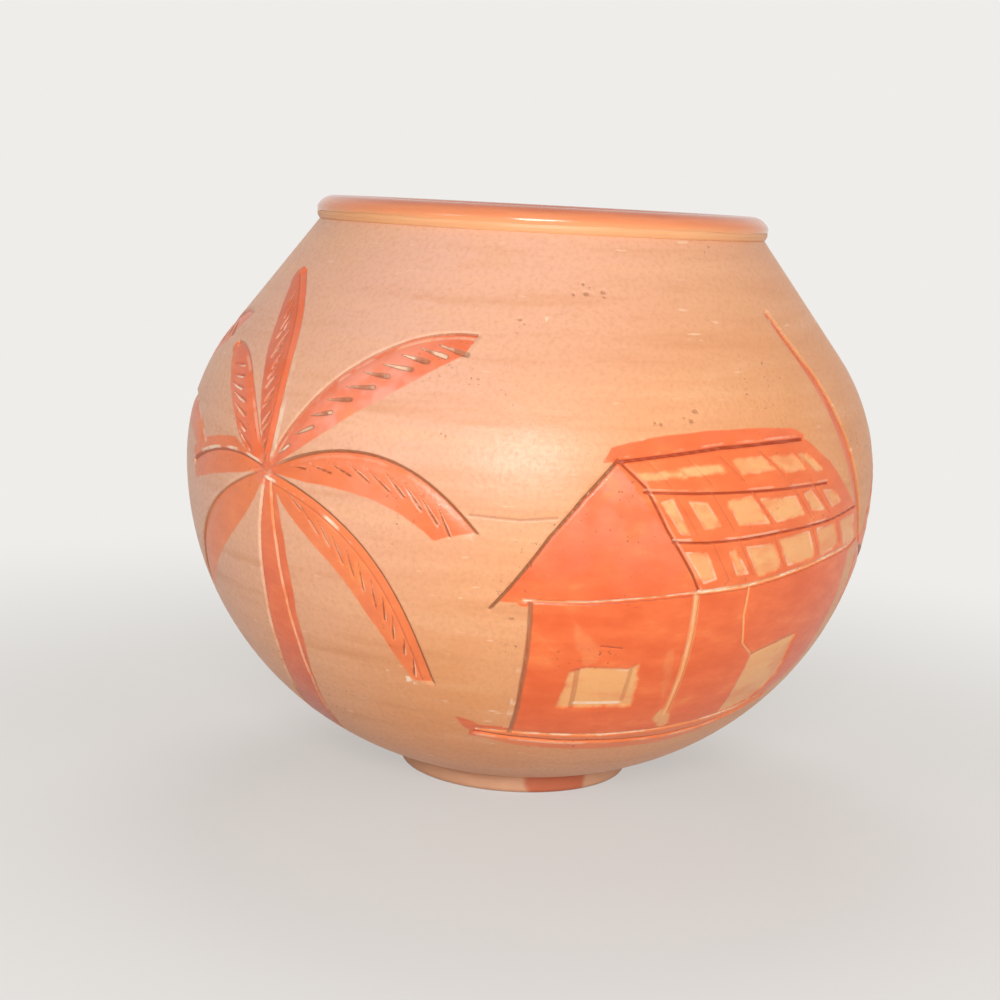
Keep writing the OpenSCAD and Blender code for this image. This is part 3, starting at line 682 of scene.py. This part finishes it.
def drawOnWall(points):
    sheet = newSheet(points)
    second = [dict(f) for f in palms["fronds"]]
    second[5].update(palms["reach"])
    second[0].update(palms["short"])
    drawPalm(sheet, palms["places"][1], palms["trunk"], second, palms["crown"])
    drawPalm(sheet, palms["places"][0], palms["trunk"], palms["fronds"], palms["crown"])
    drawPalm(sheet, palms["backPlace"], palms["backTrunk"], palms["backFronds"], palms["backCrown"])
    drawHut(sheet)
    drawKnocks(sheet)
    return sheet


# places of a mesh's points or faces, and which are on the outer wall, a little in from its ends
def wallPlaces(items, name, clear):
    places = np.zeros(len(items) * 3)
    items.foreach_get(name, places)
    places = places.reshape(-1, 3)
    z = places[:, 2] / mm
    outer = np.hypot(places[:, 0], places[:, 1]) / mm > wallRadius(z) - pot["skin"]
    return places, outer & (z > pot["floorZ"] + clear) & (z < pot["neckZ"] - clear)


def carvePot(piece):
    mesh = piece.data
    bpy.context.tool_settings.mesh_select_mode = (False, False, True)
    # finer faces beside each line, after the first round only where the front shows
    for i, reach in enumerate(pot["rounds"]):
        centres, outer = wallPlaces(mesh.polygons, "center", clear=1)
        picked = np.zeros(len(centres), bool)
        picked[outer] = drawOnWall(centres[outer])["near"] < reach
        if i > 0:
            picked &= np.abs(np.arctan2(centres[:, 0], -centres[:, 1])) < math.radians(pot["front"])
        mesh.vertices.foreach_set("select", np.zeros(len(mesh.vertices), bool))
        mesh.edges.foreach_set("select", np.zeros(len(mesh.edges), bool))
        mesh.polygons.foreach_set("select", picked)
        bpy.ops.object.mode_set(mode="EDIT")
        bpy.ops.mesh.subdivide(number_cuts=1, ngon=False, quadcorner="INNERVERT")
        bpy.ops.object.mode_set(mode="OBJECT")
        print("carving: faces", len(mesh.polygons))
    points, outer = wallPlaces(mesh.vertices, "co", clear=0.2)
    z = points[outer, 2] / mm
    radius = wallRadius(z) * mm
    points[outer, :2] *= (radius / np.hypot(points[outer, 0], points[outer, 1]))[:, None]
    sheet = drawOnWall(points[outer])
    slant = (wallRadius(z + 0.3) - wallRadius(z - 0.3)) / 0.6
    normal = np.column_stack([points[outer, :2] / radius[:, None], -slant])
    normal /= np.linalg.norm(normal, axis=1)[:, None]
    burr = np.where(sheet["depth"] < pot["burrOff"], sheet["burr"], 0)
    points[outer] -= normal * ((sheet["depth"] - burr) * mm)[:, None]
    mesh.vertices.foreach_set("co", points.ravel())
    mesh.update()
    for name in ("slip", "patch"):
        sheet[name] = np.clip(sheet[name], -farEdge, farEdge)
    # what the material reads, with its values on bare clay
    for name, parts, plain in (("coat", ("slip", "rose", "tone"), (-farEdge, 0, 0)),
                               ("marks", ("dirtAndShade", "chipAndHighlight", "bare"), (0, 0, 0)),
                               ("gaps", ("dirtAndShadeGap", "chipAndHighlightGap", "bareGap"), (farGap, farGap, farGap)),
                               ("worn", ("patch", "worn", "olive"), (-farEdge, 0, 0))):
        values = np.zeros((len(points), 3))
        values[~outer] = plain
        values[outer] = np.column_stack([sheet[part] for part in parts])
        mesh.attributes.new(name, "FLOAT_VECTOR", "POINT").data.foreach_set("vector", values.ravel())


# low-fired terracotta, burnished, brushed with red slip and cut while leather hard:
# dull buff ground with wheel streaks, painted paler and pinker toward the upper left as a pool of light,
# satin orange slip with soft edges, dirt with painted shade and chips with painted highlights in the cuts
def makePotMaterial():
    material, tree = newMaterial("slip-painted burnished terracotta")
    place = put(tree, "TexCoord").outputs["Object"]
    coat, marks, gaps, worn = (
        put(tree, "SeparateXYZ", {0: put(tree, "Attribute", attribute_name=name).outputs["Vector"]}).outputs
        for name in ("coat", "marks", "gaps", "worn"))
    around, short, brushed = (put(tree, "Mapping", {0: place, "Scale": (1, 1, k)}) for k in (12, 5, 2.2))
    # painted light: the clay is painted paler and pinker toward the upper left, as a pool of light
    litSideFacing = put(tree, "VectorMath", {0: place, 1: (-0.7, 0, 0.7)}, operation="DOT_PRODUCT")
    noise = {name: put(tree, "TexNoise", {0: vector, "Scale": 1 / (size * mm), "Detail": detail,
                                          "Roughness": 0.55})
             for name, (vector, size, detail) in {
                 "cloud": (place, 26, 4.0),     # clouds in the clay
                 "streak": (around, 38, 5.0),   # wheel lines 3 mm apart
                 "grain": (place, 0.7, 3.0),    # grit, coarser than real so that it shows
                 "speck": (place, 0.75, 2.0),   # pits
                 "group": (place, 18, 2.0),     # where the pits gather
                 "ragged": (place, 1.6, 3.0),   # edge of brush and cut
                 "patchy": (place, 4.5, 2.0),   # where chips hold on
                 "brush": (brushed, 7, 4.0),    # brush strokes
                 "scuff": (short, 5, 3.0)}.items()}  # short pale rubs
    # places on the wall moved by the noise, so that no edge is drawn with a ruler
    moved = {name: put(tree, "Math", {0: noise[by], 1: amount, 2: value}, operation="MULTIPLY_ADD")
             for name, (by, amount, value) in {
                 "patch": ("ragged", 1.4, worn[0]), "bare": ("ragged", 0.5, gaps[2]),
                 "dirtAndShade": ("ragged", 0.5, gaps[0]), "chipAndHighlight": ("ragged", 0.9, gaps[1]),
                 "slip": ("patchy", 0.6, coat[0])}.items()}
    share = {name: put(tree, "MapRange", {0: value, 1: low, 2: high, 3: start, 4: end},
                       interpolation_type="SMOOTHSTEP")
             for name, (value, low, high, start, end) in {
                 "litSide": (litSideFacing, 0.02, 0.075, 0, 1), "cloud": (noise["cloud"], 0.35, 0.7, 0, 0.5),
                 "darkStreak": (noise["streak"], 0.5, 0.78, 0, 0.5),
                 "paleStreak": (noise["streak"], 0.5, 0.28, 0, 0.4),
                 "grain": (noise["grain"], 0.4, 0.75, 0, 0.3), "speck": (noise["speck"], 0.65, 0.72, 0, 0.65),
                 "group": (noise["group"], 0.52, 0.66, 0, 1), "scuff": (noise["scuff"], 0.66, 0.76, 0, 0.5),
                 "brush": (noise["brush"], 0.3, 0.72, 0, 1), "thin": (noise["brush"], 0.58, 0.8, 0, 0.5),
                 "streaky": (noise["brush"], 0.3, 0.58, 0.6, 1),
                 "rosy": (noise["patchy"], 0.36, 0.62, 0.45, 1.25),
                 "deep": (coat[2], 0, 1, 0, 1), "light": (coat[2], 0, -1, 0, 1),
                 "patch": (moved["patch"], 0.3, 1.1, 0, 1), "bare": (moved["bare"], 1.6, 0.75, 0, 1),
                 "dirtAndShade": (moved["dirtAndShade"], 1.45, 1.0, 0, 1), "chipAndHighlight": (moved["chipAndHighlight"], 1.55, 1.1, 0, 1),
                 "hold": (noise["patchy"], 0.42, 0.6, 0, 1), "slip": (moved["slip"], 0.12, 0.48, 0, 1),
                 "onSlip": (coat[0], 0.1, 0.7, 0, 1),
                 "rough": (noise["grain"], 0.2, 0.8, 0.35, 0.47)}.items()}
    for name, by in (("speck", share["group"]), ("patch", worn[1]), ("patch", share["streaky"]),
                     ("bare", marks[2]), ("dirtAndShade", marks[0]), ("chipAndHighlight", marks[1]), ("chipAndHighlight", share["hold"]),
                     ("rosy", coat[1])):
        share[name] = put(tree, "Math", {0: share[name], 1: by}, operation="MULTIPLY")

    # painted light: paler and pinker toward the upper left
    clay = put(tree, "Mix", {0: share["litSide"], 6: linear("#df9862"), 7: linear("#e4ad93")}, data_type="RGBA")
    for name, tint in (("cloud", "#e4a97e"), ("darkStreak", "#cb8451"), ("paleStreak", "#ebb388"),
                       ("grain", "#c9865a"), ("speck", "#7f5238"), ("scuff", "#f3d2b2")):
        clay = put(tree, "Mix", {0: share[name], 6: clay, 7: linear(tint)}, data_type="RGBA")
    tile = put(tree, "Mix", {0: 0.55, 6: clay, 7: linear("#f4b672")}, data_type="RGBA")
    slip = put(tree, "Mix", {0: share["brush"], 6: linear("#e0612e"), 7: linear("#ec713c")}, data_type="RGBA")
    # rose is partly the slip's own pink and partly a painted highlight; deep and light tone on a trunk are
    # painted shade, deeper at its foot
    for over, tint in ((share["rosy"], "#ee9a84"), (share["deep"], "#a8482a"), (share["light"], "#f0a262"),
                       (share["thin"], "#f09650"), (share["speck"], "#94452a")):
        slip = put(tree, "Mix", {0: over, 6: slip, 7: linear(tint)}, data_type="RGBA")
    slip = put(tree, "Mix", {0: share["patch"], 6: slip, 7: tile}, data_type="RGBA")
    slip = put(tree, "Mix", {0: share["bare"], 6: slip, 7: linear("#eea76c")}, data_type="RGBA")
    # dark in the cuts and pits: dirt and painted shade, browner on clay, redder on slip, duller and olive in
    # gouges and trunk lines
    grimeAndShade = put(tree, "Mix", {0: share["onSlip"], 6: linear("#84502c"), 7: linear("#a0452a")},
                data_type="RGBA")
    grimeAndShade = put(tree, "Mix", {0: worn[2], 6: grimeAndShade, 7: linear("#8d6a4c")}, data_type="RGBA")
    colour = put(tree, "Mix", {0: share["slip"], 6: clay, 7: slip}, data_type="RGBA")
    colour = put(tree, "Mix", {0: share["dirtAndShade"], 6: colour, 7: grimeAndShade}, data_type="RGBA")
    # pale chips along the cuts, and in places painted highlights on a cut's edge
    colour = put(tree, "Mix", {0: share["chipAndHighlight"], 6: colour, 7: linear("#f4d6b8")}, data_type="RGBA")

    rough = put(tree, "Math", {0: share["slip"], 1: -0.06, 2: share["rough"]}, operation="MULTIPLY_ADD")
    height = put(tree, "Math", {0: noise["streak"], 1: 0.9, 2: noise["grain"]}, operation="MULTIPLY_ADD")
    height = put(tree, "Math", {0: share["speck"], 1: -0.8, 2: height}, operation="MULTIPLY_ADD")
    bump = put(tree, "Bump", {"Strength": 0.2, "Distance": 0.25 * mm, "Height": height})
    surface = put(tree, "BsdfPrincipled", {"Base Color": colour, "Roughness": rough, "IOR": 1.5,
                                           "Normal": bump})
    put(tree, "OutputMaterial", {"Surface": surface})
    return material


potBody = throwPot()
carvePot(potBody)
slipNodes = [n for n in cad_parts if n.startswith(("palm_", "hut_"))]
finishPiece(potBody, makePotMaterial(), ["body"] + slipNodes, angle=50)

# foot ring: a turned ring under the globe, clear of it by a hair, with a dab of slip right of the middle
foot = {"width": 6.0, "edge": 1.0, "clear": 0.02, "seatRows": 60, "steps": 160, "dabAt": 9.4, "dabHalf": 5.0}
foot["radius"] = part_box("foot_ring")[1].x / mm


def turnFoot():
    outer, inner, edge = foot["radius"] - foot["clear"], foot["radius"] - foot["width"], foot["edge"]
    wall = np.array(wallOutline(0, pot["floorZ"], row=0.4))[:foot["seatRows"]]

    def seat(r):
        return float(np.interp(r, wall[:, 0], wall[:, 1])) - foot["clear"]

    corner = [(math.cos(a), math.sin(a)) for a in np.linspace(-math.pi / 2, 0, 7)]
    outline = [(inner, seat(inner)), (inner, edge)]
    outline += [(inner + edge - edge * c, edge + edge * s) for c, s in corner[::-1]][1:]
    outline += [((inner + outer) / 2, 0)]
    outline += [(outer - edge + edge * c, edge + edge * s) for c, s in corner]
    outline += [(r, seat(r)) for r in np.linspace(outer, inner, 5)]
    return turnOnWheel("footRing", outline, foot["steps"])


# same clay turned clean on the wheel: paler, gritty as the pot is, and one dab of slip at the front
def makeFootMaterial():
    material, tree = newMaterial("turned terracotta foot")
    place = put(tree, "TexCoord").outputs["Object"]
    x, y = put(tree, "SeparateXYZ", {0: place}).outputs[:2]
    mottle = put(tree, "TexNoise", {0: place, "Scale": 1 / (6 * mm), "Detail": 4.0})
    grain = put(tree, "TexNoise", {0: place, "Scale": 1 / (0.7 * mm), "Detail": 3.0})
    colour = put(tree, "Mix", {0: mottle, 6: linear("#c8906c"), 7: linear("#d7a787")}, data_type="RGBA")
    edge = put(tree, "Math", {0: mottle, 1: 3 * mm, 2: x}, operation="MULTIPLY_ADD")
    off = put(tree, "Math", {0: edge, 1: foot["dabAt"] * mm}, operation="SUBTRACT")
    off = put(tree, "Math", {0: off}, operation="ABSOLUTE")
    half = foot["dabHalf"] * mm
    dab = put(tree, "MapRange", {0: off, 1: half * 1.12, 2: half * 0.88, 3: 0.0, 4: 0.85},
              interpolation_type="SMOOTHSTEP")
    front = put(tree, "Math", {0: y, 1: 0.0}, operation="LESS_THAN")
    dab = put(tree, "Math", {0: dab, 1: front}, operation="MULTIPLY")
    colour = put(tree, "Mix", {0: dab, 6: colour, 7: linear("#bc5d3c")}, data_type="RGBA")
    bump = put(tree, "Bump", {"Strength": 0.3, "Distance": 0.2 * mm, "Height": grain})
    surface = put(tree, "BsdfPrincipled", {"Base Color": colour, "Roughness": 0.6, "IOR": 1.45,
                                           "Normal": bump})
    put(tree, "OutputMaterial", {"Surface": surface})
    return material


finishPiece(turnFoot(), makeFootMaterial(), ["foot_ring"], angle=40)

# rim: a rolled lip on the neck, and the glaze that was wiped over it.
# corner is the points on each rounded edge, crease the shape under the lip; the glaze laps down the side and
# fades out at the end of that, film is the hair between it and the clay, and lift raises its lower edge
rim = {"edge": 1.6, "innerEdge": 3.0, "outerEdge": 2.9, "corner": 8, "steps": 240,
       "crease": ((1, 0.75), (0.92, 0.5), (0.72, 0.25), (0.42, 0.08), (0.2, 0.0)),
       "lap": 2.4, "fade": 0.9, "film": 0.02, "lift": 0.16}
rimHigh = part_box("rim_roll")[1]
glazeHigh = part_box("rim_glaze")[1]
rim["outer"], rim["top"] = rimHigh.x / mm, rimHigh.z / mm
rim["mouth"] = wallOutline(-pot["wall"], 0, pot["innerRow"])[-1][0]
rim["coat"] = glazeHigh.z / mm - rim["top"]


def lipSection(grow):
    low, quarter = pot["neckZ"], math.pi / 2
    points = [(rim["mouth"] - grow, low)]
    inner, outer, edge = rim["innerEdge"], rim["outerEdge"], rim["edge"]
    # inner edge, outer edge and lower edge: centre, radius, and the quarter turn
    for x, z, r, start in ((rim["mouth"] + inner, rim["top"] - inner, inner, 2),
                           (rim["outer"] - outer, rim["top"] - outer, outer, 1),
                           (rim["outer"] - edge, low + edge * 0.55, edge, 0)):
        points += [(x + (r + grow) * math.cos(a * quarter), z + (r + grow) * math.sin(a * quarter))
                   for a in np.linspace(start, start - 1, rim["corner"])]
    return points


# under the lip the clay was wiped down to the shoulder, so the crease is soft
def turnRim():
    section = lipSection(0)[:1 - rim["corner"]]
    neck = wallOutline(0, pot["floorZ"], pot["row"])[-1][0]
    reach = rim["outer"] - neck
    section += [(neck + reach * c, pot["neckZ"] + rim["edge"] * t) for c, t in rim["crease"]]
    return turnOnWheel("rimRoll", section + section[:1], rim["steps"])


# the glaze thins out to nothing at its lower edge, which wanders a little
def turnGlaze():
    stop, corner = rim["top"] - rim["lap"], rim["corner"]
    outside, inside = ([point for i, point in enumerate(lipSection(coat)[:1 + 2 * corner])
                        if i <= corner or point[1] > stop + clear]
                       for coat, clear in ((rim["coat"], rim["fade"]), (rim["film"], 0.1)))
    turn = rim["outerEdge"]
    for up, coat in ((rim["fade"] / 2, rim["coat"] * 0.55), (0, rim["film"] * 2)):
        level = stop + up - (rim["top"] - turn)
        outside.append((rim["outer"] - turn + math.sqrt(turn * turn - level * level) + coat, stop + up))
    piece = turnOnWheel("rimGlaze", outside + inside[::-1] + outside[:1], rim["steps"])
    for vertex in piece.data.vertices:
        x, y, z = vertex.co
        if z < (stop + rim["fade"]) * mm and math.hypot(x, y) > (rim["outer"] - 1) * mm:
            a = math.atan2(y, x)
            wander = 0.1 * math.sin(5 * a + 1) + 0.06 * math.sin(13 * a) + 0.04 * math.sin(29 * a + 2)
            vertex.co.z += mm * (rim["lift"] + wander)
    return piece


# the same clay, smoothed with a wet hand: close and satin, stained a little by the glaze above
def makeRimMaterial():
    material, tree = newMaterial("wet-smoothed terracotta rim")
    place = put(tree, "TexCoord").outputs["Object"]
    around = put(tree, "Mapping", {0: place, "Scale": (1, 1, 9)})
    mottle = put(tree, "TexNoise", {0: around, "Scale": 1 / (16 * mm), "Detail": 4.0})
    grain = put(tree, "TexNoise", {0: place, "Scale": 1 / (0.7 * mm), "Detail": 3.0})
    colour = put(tree, "Mix", {0: mottle, 6: linear("#dc9660"), 7: linear("#eab385")}, data_type="RGBA")
    bump = put(tree, "Bump", {"Strength": 0.25, "Distance": 0.2 * mm, "Height": grain})
    surface = put(tree, "BsdfPrincipled", {"Base Color": colour, "Roughness": 0.45, "IOR": 1.45,
                                           "Normal": bump})
    put(tree, "OutputMaterial", {"Surface": surface})
    return material


# iron-red slip glaze, melted smooth: orange red, wet gloss, thin and amber at its lower edge, painted darker
# on top as a dark reflection
def makeGlazeMaterial():
    material, tree = newMaterial("fired iron-red lip glaze")
    place = put(tree, "TexCoord").outputs["Object"]
    height = put(tree, "SeparateXYZ", {0: place}).outputs[2]
    cloud = put(tree, "TexNoise", {0: place, "Scale": 1 / (11 * mm), "Detail": 3.0})
    ripple = put(tree, "TexNoise", {0: place, "Scale": 1 / (4 * mm), "Detail": 2.0})
    colour = put(tree, "Mix", {0: cloud, 6: linear("#da7543"), 7: linear("#ea9363")}, data_type="RGBA")
    level = put(tree, "Math", {0: cloud, 1: 1.2 * mm, 2: height}, operation="MULTIPLY_ADD")
    # amber where it thins out, and painted darker along the top as a dark reflection: start and end from the
    # lip's top, share, tint
    for start, end, most, tint in ((-0.4, -2.1, 0.95, "#e6a06a"), (-0.2, 0.9, 0.7, "#b24a1e")):
        start, end = (rim["top"] + start) * mm, (rim["top"] + end) * mm
        share = put(tree, "MapRange", {0: level, 1: start, 2: end, 3: 0.0, 4: most},
                    interpolation_type="SMOOTHSTEP")
        colour = put(tree, "Mix", {0: share, 6: colour, 7: linear(tint)}, data_type="RGBA")
    bump = put(tree, "Bump", {"Strength": 0.2, "Distance": 0.3 * mm, "Height": ripple})
    surface = put(tree, "BsdfPrincipled", {"Base Color": colour, "Roughness": 0.22, "IOR": 1.42,
                                           "Normal": bump, "Coat Weight": 0.4, "Coat Roughness": 0.1})
    put(tree, "OutputMaterial", {"Surface": surface})
    return material


finishPiece(turnRim(), makeRimMaterial(), ["rim_roll"], angle=40)
finishPiece(turnGlaze(), makeGlazeMaterial(), ["rim_glaze"], angle=60)
